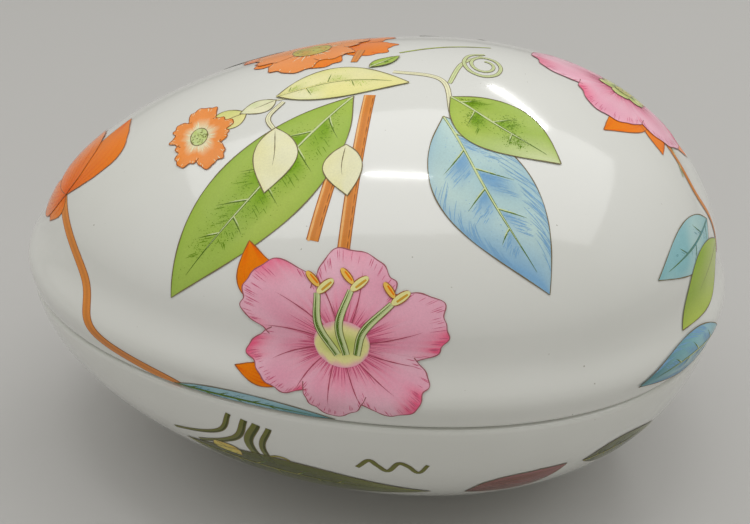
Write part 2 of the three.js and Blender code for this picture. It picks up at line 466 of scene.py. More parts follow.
class Transfer:
    """One printed motif: washes, hatching, dots and ink lines laid on one body's glaze."""

    def __init__(self, name, body, seed, turn):
        self.name = name
        self.body = body
        self.rng = np.random.default_rng(seed)
        self.turn = turn
        self.points, self.normals, self.tints, self.faces = [], [], [], []
        self.count = 0

    def directions(self, chart_points):
        points = np.asarray(chart_points, dtype=float)
        if self.turn is not None:
            points = self.turn(points)
        return chart_direction(points)

    def lay(self, direction, tint, level):
        """A grid of directions becomes one sheet of faces at a layer above the glaze."""
        rows, columns = direction.shape[:2]
        point, normal = skin_points(self.body, direction)
        point = point + normal * (FIRST_LIFT + LAYER_LIFT * level)
        index = np.arange(rows * columns).reshape(rows, columns) + self.count
        quads = np.stack(
            [index[:-1, :-1], index[:-1, 1:], index[1:, 1:], index[1:, :-1]], axis=-1
        ).reshape(-1, 4)
        self.points.append(point.reshape(-1, 3))
        self.normals.append(normal.reshape(-1, 3))
        self.tints.append(np.broadcast_to(tint, point.shape).reshape(-1, 3))
        self.faces.append(quads)
        self.count += rows * columns

    def real_length(self, path):
        point = SKINS[self.body](self.directions(path))
        return np.linalg.norm(np.diff(point, axis=0), axis=1).sum()

    def wash(self, patch, paint, level):
        """Fills a patch with a colour for each place, on cells small enough for the lip's curve."""
        along = max(self.real_length(patch.first), self.real_length(patch.second))
        ties = [patch.at(np.full(9, u), np.linspace(0, 1, 9)) for u in (0.1, 0.3, 0.5, 0.7, 0.9)]
        across = max(self.real_length(tie) for tie in ties)
        rows = max(6, int(along / CELL) + 2)
        columns = max(5, int(across / CELL) + 2)
        u, v = np.meshgrid(np.linspace(0, 1, rows), np.linspace(0, 1, columns), indexing="ij")
        self.lay(self.directions(patch.at(u, v)), paint(u, v), level)

    def stroke(self, path, width, tint, level, columns=2):
        """A ribbon of a given width in millimetres along a chart path."""
        direction = self.directions(path)
        point, normal = skin_points(self.body, direction)
        along = np.gradient(point, axis=0)
        side = unit(np.cross(normal, along))
        half = HALVES[self.body]
        u = direction[:, 0]
        scale = np.stack(
            [np.full_like(u, half.a), half.b * widen(u), half.side * half.c * heighten(u)], axis=-1
        )
        widths = np.broadcast_to(width, (len(path),))
        offsets = np.linspace(-0.5, 0.5, columns)
        spread = (side / scale)[:, None, :] * (widths[:, None] * offsets)[..., None]
        grid = unit(direction[:, None, :] + spread)
        tint = np.asarray(tint)
        if tint.ndim == 2:
            tint = tint[:, None, :]
        self.lay(grid, tint, level)

    def line(self, points, width, tint, level, taper=(0.35, 0.15)):
        """A pen line through a few chart points, thinner at its ends."""
        self.pen(evenly(points), width, tint, level, taper)

    def pen(self, path, width, tint, level, taper=(0.35, 0.15)):
        t = np.linspace(0, 1, len(path))
        body = np.clip(t / 0.2, 0, 1) * (1 - taper[0]) + taper[0]
        tail = np.clip((1 - t) / 0.45, 0, 1) * (1 - taper[1]) + taper[1]
        shake = 0.15 if width < BROAD_PEN else 0.0
        tremble = 1 + shake * np.sin(t * 23 + self.rng.uniform(0, 6))
        columns = 2 if width < BROAD_PEN else BROAD_PEN_COLUMNS
        self.stroke(path, width * np.minimum(body, tail) * tremble, tint, level, columns)

    def ink(self, path, tint, level):
        """The drawn outline of a motif, of a slightly uneven weight."""
        length = np.linalg.norm(np.diff(path, axis=0), axis=1).sum()
        path = spaced(path, max(24, int(length * 3)))
        t = np.linspace(0, 1, len(path))
        wobble = 1 + 0.22 * np.sin(t * 31 + self.rng.uniform(0, 6))
        wobble += 0.12 * np.sin(t * 77 + self.rng.uniform(0, 6))
        self.stroke(path, INK_WIDTH * wobble, tint, level)

    def hatch(self, patch, count, u_range, v_range, reach, width, tint, level, lean=0.0):
        """Short tapered strokes that run across a patch from one edge to the other."""
        for _ in range(count):
            u = self.rng.uniform(*u_range)
            v = self.rng.uniform(*v_range)
            length = reach * self.rng.uniform(0.5, 1.0)
            t = np.linspace(0, 1, 9)
            path = patch.at(np.clip(u + lean * t, 0, 1), np.clip(v + length * t, 0, 1))
            self.pen(path, width * self.rng.uniform(0.6, 1.2), tint, level, (0.3, 0.05))

    def dots(self, patch, count, centre, spread, size, tint, level):
        """Printed dots scattered around a place in a patch."""
        u = np.clip(self.rng.normal(centre[0], spread[0], count), 0.01, 0.99)
        v = np.clip(self.rng.normal(centre[1], spread[1], count), 0.02, 0.98)
        for place in patch.at(u, v):
            reach = size * self.rng.uniform(0.5, 1.0)
            path = place + np.array([[-0.5, 0], [0, 0.0], [0.5, 0]]) * reach
            self.stroke(path, reach * np.array([0.45, 1.0, 0.45]), tint, level)

    def done(self, material):
        mesh = bpy.data.meshes.new(self.name)
        faces = np.vstack(self.faces)
        points = to_metres(np.vstack(self.points))
        normals = np.vstack(self.normals)
        tints = np.vstack(self.tints)
        corner = points[faces]
        facing = np.cross(corner[:, 1] - corner[:, 0], corner[:, 3] - corner[:, 0])
        wrong = (facing * normals[faces[:, 0]]).sum(-1) < 0
        faces[wrong] = faces[wrong][:, ::-1]
        mesh.from_pydata(points.tolist(), [], faces.tolist())
        mesh.polygons.foreach_set("use_smooth", [True] * len(faces))
        layer = mesh.color_attributes.new("print", "FLOAT_COLOR", "POINT")
        values = np.concatenate([np.clip(tints, 0, 1), np.ones((len(tints), 1))], axis=1)
        layer.data.foreach_set("color", values.ravel())
        mesh.normals_split_custom_set_from_vertices(normals.tolist())
        mesh.materials.append(material)
        piece = bpy.data.objects.new(self.name, mesh)
        bpy.context.collection.objects.link(piece)
        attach(piece, self.body)
        return piece


# ---- paints ----------------------------------------------
WHITE = colour(255, 255, 255)
INK = colour(132, 118, 84)
ROSE_INK = colour(176, 104, 112)
RUST_INK = colour(176, 104, 52)
CREAM = colour(250, 248, 208)
PALE_YELLOW = colour(248, 242, 166)
YELLOW = colour(240, 220, 108)
OCHRE = colour(222, 172, 62)
LIME = colour(192, 212, 96)
PALE_GREEN = colour(220, 232, 172)
LEAF_GREEN = colour(176, 204, 92)
MID_GREEN = colour(132, 178, 16)
DARK_GREEN = colour(96, 128, 42)
MOSS = colour(112, 152, 24)
AMBER = colour(255, 208, 100)
PEACH = colour(255, 196, 126)
APRICOT = colour(255, 160, 84)
ORANGE = colour(255, 138, 8)
DEEP_ORANGE = colour(250, 100, 0)
STEM_ORANGE = colour(236, 150, 70)
PALE_PINK = colour(255, 200, 218)
PINK = colour(250, 176, 200)
HOT_PINK = colour(255, 108, 148)
ROSE = colour(224, 104, 140)
FOLD_RED = colour(190, 84, 108)
PALE_SKY = colour(208, 234, 228)
SKY = colour(174, 212, 222)
BLUE = colour(120, 174, 220)
MID_BLUE = colour(138, 186, 224)
TEAL = colour(152, 204, 210)
DEEP_TEAL = colour(104, 158, 166)
# painted shade: the olive, dusky pink and russet colours used on the base are darker than the prints' own
# colours, to stand for the shade below the seam; the olive is also a plain print colour on the lid
OLIVE = colour(122, 126, 56)
SHADED_DEEP_OLIVE = colour(78, 84, 30)
STRAW = colour(190, 180, 96)
SHADED_DUSKY_PINK = colour(164, 106, 104)
SHADED_RUSSET = colour(134, 76, 62)
SHADED_DEEP_RUSSET = colour(100, 46, 38)


def grain(u, v, seed, across, along):
    """Soft noise of about -1 to 1 over a patch, with so many waves across and along it."""
    rng = np.random.default_rng(seed)
    total = np.zeros(np.shape(u))
    for _ in range(7):
        turns_u = across * rng.uniform(0.5, 1.5)
        turns_v = along * rng.uniform(-1.3, 1.3)
        total += np.sin(2 * math.pi * (turns_u * u + turns_v * v) + rng.uniform(0, 6.3))
    return total / 3.2


def petal_paint(look, seed):
    """A light throat, a body that flushes deeper in soft ribs, and a rim flushed in places."""
    flush = look.get("flush", 0.5)

    def paint(u, v):
        cloud = grain(u, v, seed, 1.2, 1.2)
        ribs = 0.6 * grain(u, v, seed + 1, 8, 0.5) + 0.4 * grain(u, v, seed + 3, 19, 0.5)
        tint = blend_tint(look["body"], look["rim"], 0.3 + 0.8 * (v - 0.4) + 0.45 * cloud)
        near = np.exp(-((v / 0.42) ** 2)) * (0.7 + 0.5 * ribs)
        edge = np.clip((v - 0.55) / 0.45, 0, 1) ** 2 * np.clip(grain(u, v, seed + 2, 1.2, 0.2), 0, 1)
        tint = blend_tint(tint, look["deep"], flush * np.maximum(near, 1.6 * edge * (1 + 0.4 * ribs)))
        return blend_tint(look["throat"], tint, v / look.get("reach", 0.12))

    return paint


def leaf_paint(look, seed, veins, lean):
    """A light blade; each side vein has a bright wedge on its tip side that fades to the next."""

    def paint(u, v):
        cloud = grain(u, v, seed, 1.6, 0.8)
        off = np.abs(v - 0.5) * 2
        bright = np.zeros(np.shape(u))
        for place, wing, reach in veins:
            gap = (u - lean * off - place) / look.get("wedge", 0.17)
            wedge = np.clip(9 * gap, 0, 1) * np.clip(1 - gap, 0, 1) * np.clip((reach - off) / 0.4, 0, 1)
            bright = np.maximum(bright, np.where((v - 0.5) * wing > 0, wedge, 0))
        tint = blend_tint(look["body"], look["pale"], 0.25 + 0.4 * cloud)
        tint = blend_tint(tint, look["deep"], look["dark"] * bright * (1.1 + 0.4 * cloud))
        tint = blend_tint(tint, look["tip"], np.clip(2.4 * u - 1.3 + 0.9 * (v - 0.5), 0, 1))
        return blend_tint(tint, look["deep"], 0.3 * off**6)

    return paint


def plain_paint(light, dark, seed):
    """A light colour with soft clouds of a darker one."""
    return lambda u, v: blend_tint(light, dark, 0.35 + 0.35 * grain(u, v, seed, 3, 2))


def leaf_look(body, pale, deep, tip, vein, hatch, rib, dark, hatching=5, **more):
    """The colours of one kind of leaf, and how heavily it is drawn."""
    return dict(body=body, pale=pale, deep=deep, tip=tip, vein=vein, hatch=hatch, rib=rib, dark=dark,
                hatching=hatching, **more)


PINK_LOOK = dict(throat=HOT_PINK, body=PINK, rim=PALE_PINK, deep=HOT_PINK, rib=ROSE, ink=ROSE_INK,
                 flush=0.75)
ORANGE_LOOK = dict(throat=DEEP_ORANGE, body=ORANGE, rim=ORANGE, deep=DEEP_ORANGE, rib=DEEP_ORANGE,
                   ink=RUST_INK, flush=0.8)
APRICOT_LOOK = dict(throat=CREAM, body=APRICOT, rim=APRICOT, deep=ORANGE, rib=CREAM, ink=RUST_INK, reach=0.3,
                    flush=0.55)
BUD_LOOK = dict(throat=LIME, body=LIME, rim=PALE_YELLOW, deep=MID_GREEN, rib=DARK_GREEN)
# painted shade: the russet petal look and the olive leaf look, used on the base, are made of colours
# darkened for the shade below the seam
SHADED_RUSSET_LOOK = dict(throat=SHADED_DEEP_RUSSET, body=SHADED_RUSSET, rim=SHADED_DUSKY_PINK, deep=SHADED_DEEP_RUSSET, rib=SHADED_DEEP_RUSSET)
GREEN_LEAF = leaf_look(LEAF_GREEN, LIME, MID_GREEN, LEAF_GREEN, PALE_GREEN, MOSS, PALE_GREEN, 1.0, 6)
BLUE_LEAF = leaf_look(PALE_SKY, SKY, BLUE, MID_BLUE, PALE_GREEN, MID_BLUE, PALE_GREEN, 0.8, 22,
                      wedge=0.13, edge_hatching=44)
TEAL_LEAF = leaf_look(TEAL, PALE_SKY, SKY, TEAL, DEEP_TEAL, DEEP_TEAL, DEEP_TEAL, 0.5, 3)
SHADED_OLIVE_LEAF = leaf_look(SHADED_DEEP_OLIVE, OLIVE, SHADED_DEEP_OLIVE, OLIVE, STRAW, SHADED_DEEP_OLIVE, STRAW, 0.8)
LIP_LEAF = leaf_look(SKY, TEAL, BLUE, DEEP_TEAL, DARK_GREEN, DEEP_TEAL, DARK_GREEN, 0.6)
YELLOW_LEAF = leaf_look(PALE_YELLOW, CREAM, LIME, PALE_YELLOW, PALE_YELLOW, LIME, PALE_YELLOW, 0.5, 2)


# ---- the parts of a motif --------------------------------
def blade_edges(base, tip, width, bend):
    """The two edges of a leaf shape between two places, bent to one side by a share of its length."""
    base = np.array(base, dtype=float)
    along = np.array(tip, dtype=float) - base
    across = np.array([-along[1], along[0]]) / np.linalg.norm(along)
    s = np.linspace(0, 1, 9)
    bow = bend * np.linalg.norm(along) * np.sin(math.pi * s)
    half = width / 2 * np.sin(math.pi * s**0.85)
    spine = base + s[:, None] * along + bow[:, None] * across
    return spine + half[:, None] * across, spine - half[:, None] * across


def petal(t, inner, rim, kind, level, seed, ruffle, ribs):
    """One petal: inner edge at the throat, frilled rim, ribs that fan out between them."""
    patch = Patch(inner, rim).ruffle(2, ruffle, seed)
    t.wash(patch, petal_paint(kind, seed), level)
    t.hatch(patch, ribs, (0.03, 0.97), (0.0, 0.1), 0.42, 0.15, kind["rib"], level + 1)
    t.hatch(patch, ribs, (0.03, 0.97), (0.94, 1.0), -0.16, 0.12, kind["rib"], level + 1)
    t.ink(patch.second, kind.get("ink", INK), level + 2)


def long_petal(t, base, tip, width, bend, kind, level, seed):
    """A petal seen from its side: a leaf shape with ribs along it."""
    patch = Patch(*blade_edges(base, tip, width, bend)).ruffle(2, 0.1, seed)
    paint = petal_paint(kind, seed)
    t.wash(patch, lambda u, v: paint(v, u), level)
    for v in np.linspace(0.2, 0.8, 5):
        t.pen(patch.at(np.linspace(0.05, 0.7, 20), np.full(20, v)), 0.14, kind["rib"], level + 1)
    t.ink(patch.outline(), kind.get("ink", INK), level + 2)


def leaf(t, base, tip, width, bend, kind, level, seed, pairs, lean, dots):
    """One leaf: a blade, a pale midrib, side veins in pairs, hatching and printed dots."""
    patch = Patch(*blade_edges(base, tip, width, bend))
    first_vein, vein_span, long_vein, shorter = 0.12, 0.6, 0.75, 0.35
    veins = []
    for k in range(2 * pairs):
        share = k / (2 * pairs)
        veins.append((first_vein + vein_span * share, 1 if k % 2 else -1, long_vein - shorter * share))
    t.wash(patch, leaf_paint(kind, seed, veins, lean), level)

    def rib(u, start, end, side, count=20):
        s = np.linspace(start, end, count)
        return patch.at(np.clip(u + lean * s, 0, 1), 0.5 + 0.5 * side * s)

    for place, side, reach in veins:
        for _ in range(kind["hatching"]):
            start = t.rng.uniform(0.05, 0.7) * reach
            line = rib(place + t.rng.uniform(0.01, 0.1), start, start + t.rng.uniform(0.1, 0.3), side, 9)
            t.pen(line, 0.15, kind["hatch"], level + 1, (0.1, 0.05))
        t.pen(rib(place, 0, reach, side), 0.24, DARK_GREEN, level + 2, (1.0, 0.1))
        t.pen(rib(place - 0.005, 0, 0.6 * reach, side), 0.22, kind["vein"], level + 3, (1.0, 0.1))
        cloud = place + 0.05 + 0.22 * reach * lean, 0.5 + 0.22 * side * reach
        t.dots(patch, dots // len(veins), cloud, (0.05, 0.085), 0.18, kind["hatch"], level + 2)
    middle = patch.at(np.linspace(0.0, 0.86, 60), np.full(60, 0.5))
    t.pen(middle, 0.56, DARK_GREEN, level + 3, (1.0, 0.1))
    t.pen(middle[:50], 0.4, kind["rib"], level + 4, (1.0, 0.1))
    edge = kind.get("edge_hatching", 0)
    t.hatch(patch, edge, (0.04, 0.8), (0.1, 0.24), -0.3, 0.15, kind["hatch"], level + 2, 0.15)
    t.hatch(patch, edge, (0.3, 0.8), (0.8, 0.94), 0.24, 0.15, kind["hatch"], level + 2, 0.13)
    t.ink(patch.outline(), INK, level + 4)


def pod(t, base, tip, width, bend, light, dark, level, seed):
    """A bud, calyx or pod: a plain wash shaded to one side, with a drawn split."""
    patch = Patch(*blade_edges(base, tip, width, bend))

    def paint(u, v):
        return blend_tint(light, dark, 0.5 * np.clip(v, 0, 1) ** 2 + 0.15 * grain(u, v, seed, 2, 1))

    t.wash(patch, paint, level)
    t.pen(patch.at(np.linspace(0.08, 0.6, 30), np.full(30, 0.52)), 0.2, INK, level + 1)
    t.ink(patch.outline(), INK, level + 2)


def stem(t, points, width, tint, level, edge=INK, taper=(0.9, 0.8)):
    """A stem or tendril: a coloured line between two thin drawn edges, shaded down its middle."""
    path = evenly(points)
    t.pen(path, width + 1.6 * INK_WIDTH, edge, level, taper)
    t.pen(path, width, tint, level + 1, taper)
    if width > BROAD_PEN:
        t.pen(path, width * 0.3, blend_tint(tint, edge, np.array(0.22)), level + 2, taper)


def curl(centre, radius, turns, start=0.0):
    """A spiral that winds in to a third of its radius, [along, across]."""
    s = np.linspace(0, 1, 8 * turns + 1)[:, None]
    angle = start + 2 * math.pi * turns * s
    return np.array(centre) + np.hstack([np.cos(angle), np.sin(angle)]) * radius * (1 - 0.66 * s)


def anther(t, place, step, width, light, dark, level):
    """A plump rounded stroke with a drawn edge and a shaded side."""
    s = np.linspace(0, 1, 26)
    path = np.array(place) + s[:, None] * step
    swell = np.clip(np.sin(math.pi * s), 0.001, 1) ** 0.4
    t.stroke(path, (width + 0.4) * swell + 0.02, RUST_INK, level, 3)
    t.stroke(path, width * swell, light, level + 1, 3)
    t.stroke(path[5:-5] + [0.2, 0], width * swell[5:-5] * 0.3, dark, level + 2)


def rosette(t, centre, radius, kind, level, lobes, turn, seed, heart, ruffle, reaches=(1.0,), ribs=12,
            eye=True):
    """An open flower: petals round a centre; radius is [along, across] in chart units."""
    centre = np.array(centre, dtype=float)
    radius = np.array(radius, dtype=float)
    step = 2 * math.pi / lobes
    spread = np.linspace(-0.56, 0.56, 7)
    for k in range(lobes):
        angles = turn + (k + spread) * step
        circle = np.stack([np.cos(angles), np.sin(angles)], axis=-1)
        size = reaches[k % len(reaches)] * (1.05 - 1.1 * spread**2)
        petal(t, centre + circle * radius * heart, centre + circle * radius * size[:, None], kind,
              level + k, seed + k, ruffle, ribs)
    if not eye:
        return
    half = np.linspace(0, math.pi, 7)
    rise = np.stack([np.cos(half), np.sin(half)], axis=-1) * radius * heart * 1.25
    disc = Patch(centre + rise, centre + rise * [1, -1])
    t.wash(disc, plain_paint(kind.get("eye", YELLOW), LIME, seed + 20), level + lobes + 1)
    t.dots(disc, 40, (0.5, 0.5), (0.2, 0.2), 0.3, OLIVE, level + lobes + 2)
    t.ink(disc.outline(), INK, level + lobes + 2)


# ---- motifs of the lid -----------------------------------
# Most places below are whole chart units, rounded from a tracing of the photograph.
FLOWER_CENTRE = np.array([-7.0, -71.0])
FLOWER_REACH = np.array([17.0, 24.0])
FLOWER_PETALS = 6
FLOWER_TURN = 0.3
STAMEN_LEANS = (-3, 2, 8)


def large_flower(t, level):
    """A wide open flower of six frilled petals, with folds, a yellow throat and three stamens."""
    rosette(t, FLOWER_CENTRE, FLOWER_REACH, PINK_LOOK, level, FLOWER_PETALS, FLOWER_TURN, 40, 0.16, 0.5,
            (1, 0.92, 1.04), 34, False)
    for k in range(2 * FLOWER_PETALS):
        angle = FLOWER_TURN + math.pi * (k + 0.5) / FLOWER_PETALS
        shares = np.linspace(0.24, 0.8, 6)[:, None]
        turn = angle + 0.25 * shares
        fold = FLOWER_CENTRE + np.hstack([np.cos(turn), np.sin(turn)]) * FLOWER_REACH * shares
        t.line(fold, 0.2, FOLD_RED, level + 8, (0.8, 0.05))
    half = np.linspace(0, math.pi, 9)
    rise = np.stack([np.cos(half), np.sin(half)], axis=-1) * FLOWER_REACH * 0.28
    throat = Patch(FLOWER_CENTRE + rise, FLOWER_CENTRE + rise * [1, -1])

    def throat_paint(u, v):
        middle = np.sin(math.pi * u) * np.sin(math.pi * v)
        tint = blend_tint(PINK, PALE_YELLOW, 2.4 * middle + 0.2 * grain(u, v, 62, 6, 0.5))
        return blend_tint(tint, LIME, 2 * middle - 1.2)

    t.wash(throat, throat_paint, level + 9)
    for lean in STAMEN_LEANS:
        root = FLOWER_CENTRE + [0.3 * lean, -3]
        tip = FLOWER_CENTRE + [lean, 15 - 0.5 * abs(lean)]
        knee = (root + tip) / 2 - [1.5, 0]
        stem(t, [root, knee, tip], 1.3, PALE_GREEN, level + 11, OLIVE)
        t.line([root - [0.2, 0], knee - [0.2, 0], tip - [0.2, 0]], 0.5, DARK_GREEN, level + 13, (1, 0.2))
        anther(t, tip, [2.6, 3], 1.6, PALE_YELLOW, OCHRE, level + 14)
        anther(t, tip + [0.4, 1.5], [-1.6, 3.4], 1.2, AMBER, ORANGE, level + 17)


def flower_lobes(t, level):
    """Two orange petals that show behind the large flower."""
    long_petal(t, (-14, -64), (-19, -45), 8, 0.1, ORANGE_LOOK, level, 71)
    long_petal(t, (-18, -82), (-28, -77), 7, 0.05, ORANGE_LOOK, level, 72)


def long_leaf(t, level):
    """The large green leaf that falls forward from the crown."""
    leaf(t, (-4, -14), (-36, -57), 15, 0.03, GREEN_LEAF, level, 81, 4, 0.1, 900)


def seed_pods(t, level):
    """Two cream seed pods in front of the large leaf, the first on a thin stalk."""
    stem(t, [(-13, -13), (-15, -17), (-14, -21)], 0.9, CREAM, level)
    pod(t, (-14, -20), (-16, -35), 6, 0.05, CREAM, PALE_YELLOW, level + 2, 91)
    pod(t, (-5, -26), (-5, -37), 5, -0.05, CREAM, PALE_YELLOW, level + 2, 92)


def stalks(t, level):
    """Two straight orange stalks, with short dark strokes down one side."""
    for points in ([(-2, -14), (-6, -50)], [(-7, -33), (-10, -46)]):
        stem(t, points, 2.2, STEM_ORANGE, level, RUST_INK, (1, 1))
        side = evenly(points)
        t.pen(side - [0.55, 0], 0.4, PEACH, level + 3, (1, 1))
        for start in range(2, len(side) - 8, 6):
            t.pen(side[start:start + 6] + [0.5, 0], 0.2, RUST_INK, level + 3)


def trumpet(t, level):
    """A small orange flower with its calyx and stalk."""
    stem(t, [(-10, -12), (-15, -12)], 0.4, CREAM, level)
    pod(t, (-14, -12), (-19, -14), 4, 0.05, CREAM, PALE_GREEN, level + 3, 112)
    pod(t, (-18, -14), (-24, -16), 6, 0.0, PALE_YELLOW, LIME, level, 111)
    rosette(t, (-25, -18), (5, 9), APRICOT_LOOK | dict(reach=0.55, eye=PALE_GREEN), level + 6, 5, 0.2, 113,
            0.22, 0.4, (0.92, 1.0, 0.9))


def crown_leaf(t, level):
    """A pale leaf at the crown, with a small green one behind it."""
    leaf(t, (-14, -11), (3, -11), 10, 0.12, YELLOW_LEAF, level, 121, 2, 0.05, 120)
    leaf(t, (-2, -5), (2, -1), 2.4, 0.0, GREEN_LEAF, level + 5, 122, 1, 0.05, 10)


def crown_flower(t, level):
    """The orange flower that lies over the crown, half out of sight from the front."""
    rosette(t, (-9, 12), (12, 14), ORANGE_LOOK | dict(eye=AMBER), level, 7, -0.7, 131, 0.3, 0.5, (1, 0.86))
    rosette(t, (-10, 9), (8, 12), APRICOT_LOOK | dict(reach=0.1, eye=OCHRE), level + 10, 5, -2.0, 141, 0.28,
            0.4, (1, 0.8))
    stem(t, [(-3, 4), (-4, -2)], 1.6, STEM_ORANGE, level + 6, RUST_INK)


def tendrils(t, level):
    """Stalks and curling tendrils to the right of the crown."""
    stem(t, [(1, -7), (7, -10), (8, -19)], 1.0, CREAM, level)
    stem(t, [(2, 1), (8, 4), (15, 6)], 0.4, LIME, level)
    stem(t, [(8, -11), (10, -4), (13, 0)], 0.9, PALE_GREEN, level)
    stem(t, curl((13, -4), (3, 5), 2, 1.4), 0.7, PALE_GREEN, level + 3)


def blue_and_green_leaves(t, level):
    """A blue leaf with a green one over it, right of the crown."""
    leaf(t, (7, -20), (25, -55), 14, -0.05, BLUE_LEAF, level, 141, 3, 0.14, 160)
    leaf(t, (8, -15), (23, -28), 11, -0.05, GREEN_LEAF | dict(tip=PALE_GREEN), level + 7, 142, 2, 0.12, 700)


def blunt_end_flower(t, level):
    """A pink flower over the blunt end, with orange sepals and a drooping stem."""
    for tip, bend in (((30, -17), 0.1), ((43, -16), 0.0), ((54, -7), -0.1)):
        long_petal(t, (39, -1), tip, 7, bend, ORANGE_LOOK, level, 151)
    rosette(t, (37, 3), (15, 17), PINK_LOOK, level + 4, 5, 0.5, 152, 0.12, 0.3, (1, 0.93), 34, False)
    rosette(t, (38, 3), (5, 5), BUD_LOOK, level + 12, 6, 0, 161, 0.3, 0.1)
    stem(t, [(45, -11), (53, -19), (62, -21), (71, -25)], 1.4, STEM_ORANGE, level, RUST_INK)
    stem(t, [(46, -9), (49, -18)], 0.4, PALE_GREEN, level)


def blunt_end_leaves(t, level):
    """Two leaves and a pod that hang down over the blunt end."""
    leaf(t, (59, -23), (46, -46), 12, 0.04, TEAL_LEAF, level, 171, 2, 0.12, 30)
    pod(t, (66, -24), (62, -54), 16, 0.0, LIME, MID_GREEN, level + 6, 172)
    leaf(t, (84, -43), (56, -73), 14, 0.0, BLUE_LEAF | dict(body=TEAL, tip=DEEP_TEAL), level + 10, 174, 3,
         0.12, 60)


def pointed_end_flower(t, level):
    """An orange flower over the pointed end, with its long stem down to the lip."""
    stem(t, [(-57, -17), (-57, -45), (-62, -64), (-47, -86)], 2.2, STEM_ORANGE, level, RUST_INK, (1, 1))
    petals = (((-66, -20), -0.2), ((-40, 2), -0.15), ((-70, -2), 0.1), ((-50, 12), 0.0))
    for k, (tip, bend) in enumerate(petals):
        long_petal(t, (-56, -17), tip, 13, bend, ORANGE_LOOK, level + 3 + 3 * k, 181 + k)


def lip_leaf(t, level):
    """A blue-grey leaf that lies along the rolled lip."""
    leaf(t, (-48, -85), (-10, -97), 8, -0.01, LIP_LEAF, level, 191, 3, 0.1, 80)


# ---- motifs of the base ----------------------------------
def base_ribbons(t, level):
    """Falling stalks and tendrils below the seam, left of the middle."""
    for top, foot, width in ((-34, -40, 1.0), (-30, -34, 1.4), (-27, -19, 1.8), (-24, -17, 1.2)):
        path = [(top, -88), (top + 1, -76), (foot, -62)]
        # painted shade: the stalks' olive colours are darkened for the shade below the seam
        stem(t, path, width, OLIVE, level)
        t.line([(p + 0.3 * width, q) for p, q in path], 0.35 * width, SHADED_DEEP_OLIVE, level + 3, (1, 0.4))
    stem(t, curl((-18, -70), (4, 6), 1), 0.6, STRAW, level)
    wave = [(p, -80 + 3 * math.sin(p)) for p in range(-4, 11, 2)]
    stem(t, wave, 0.9, OLIVE, level)
    pod(t, (-32, -68), (-25, -64), 6, 0.0, YELLOW, OCHRE, level + 4, 201)


def base_leaves(t, level):
    """Olive leaves and a russet petal along the belly, in colours darkened as painted shade below the seam.
    """
    leaf(t, (-36, -58), (10, -62), 20, -0.05, SHADED_OLIVE_LEAF, level, 211, 4, 0.05, 200)
    long_petal(t, (16, -60), (38, -66), 13, 0.0, SHADED_RUSSET_LOOK, level, 212)
    leaf(t, (41, -62), (60, -53), 13, 0.0, SHADED_OLIVE_LEAF, level, 213, 3, 0.05, 100)


# ---- materials -------------------------------------------
WAVE_STRENGTH = 0.35
SWELL_HEIGHT = 0.0012
PEEL_HEIGHT = 0.00003
GLAZE_ROUGHNESS = 0.13
BARE_ROUGHNESS = 0.62


def new_material(name):
    material = bpy.data.materials.new(name)
    material.use_nodes = True
    nodes = material.node_tree.nodes
    links = material.node_tree.links
    return material, nodes, links, nodes["Principled BSDF"]


def set_inputs(node, values):
    """Sets a node's sockets by name."""
    for name, value in values.items():
        node.inputs[name].default_value = value


def noise(nodes, links, scale, detail, roughness=0.5):
    """Noise fixed to the piece itself, in waves per metre."""
    coords = nodes.new("ShaderNodeTexCoord")
    texture = nodes.new("ShaderNodeTexNoise")
    set_inputs(texture, {"Scale": scale, "Detail": detail, "Roughness": roughness})
    links.new(coords.outputs["Object"], texture.inputs["Vector"])
    return texture


def ramp(nodes, links, source, low, high, first, second):
    """Two colours blended where the source goes from low to high."""
    blend = nodes.new("ShaderNodeValToRGB")
    blend.color_ramp.elements[0].position = low
    blend.color_ramp.elements[1].position = high
    blend.color_ramp.elements[0].color = (*first, 1)
    blend.color_ramp.elements[1].color = (*second, 1)
    links.new(source, blend.inputs["Fac"])
    return blend


def mix(nodes, links, kind, amount, first, second):
    node = nodes.new("ShaderNodeMix")
    node.data_type = "RGBA"
    node.blend_type = kind
    node.inputs["Factor"].default_value = amount
    links.new(first, node.inputs[6])
    links.new(second, node.inputs[7])
    return node


def glaze_waves(nodes, links, shader, strength):
    """The slight unevenness of fired glaze: slow swells and a faint orange peel."""
    swell = noise(nodes, links, 26, 1.5)
    peel = noise(nodes, links, 420, 2)
    first = nodes.new("ShaderNodeBump")
    set_inputs(first, {"Strength": strength, "Distance": SWELL_HEIGHT})
    links.new(swell.outputs["Fac"], first.inputs["Height"])
    second = nodes.new("ShaderNodeBump")
    set_inputs(second, {"Strength": strength, "Distance": PEEL_HEIGHT})
    links.new(peel.outputs["Fac"], second.inputs["Height"])
    links.new(first.outputs["Normal"], second.inputs["Normal"])
    links.new(second.outputs["Normal"], shader.inputs["Normal"])
    links.new(second.outputs["Normal"], shader.inputs["Coat Normal"])


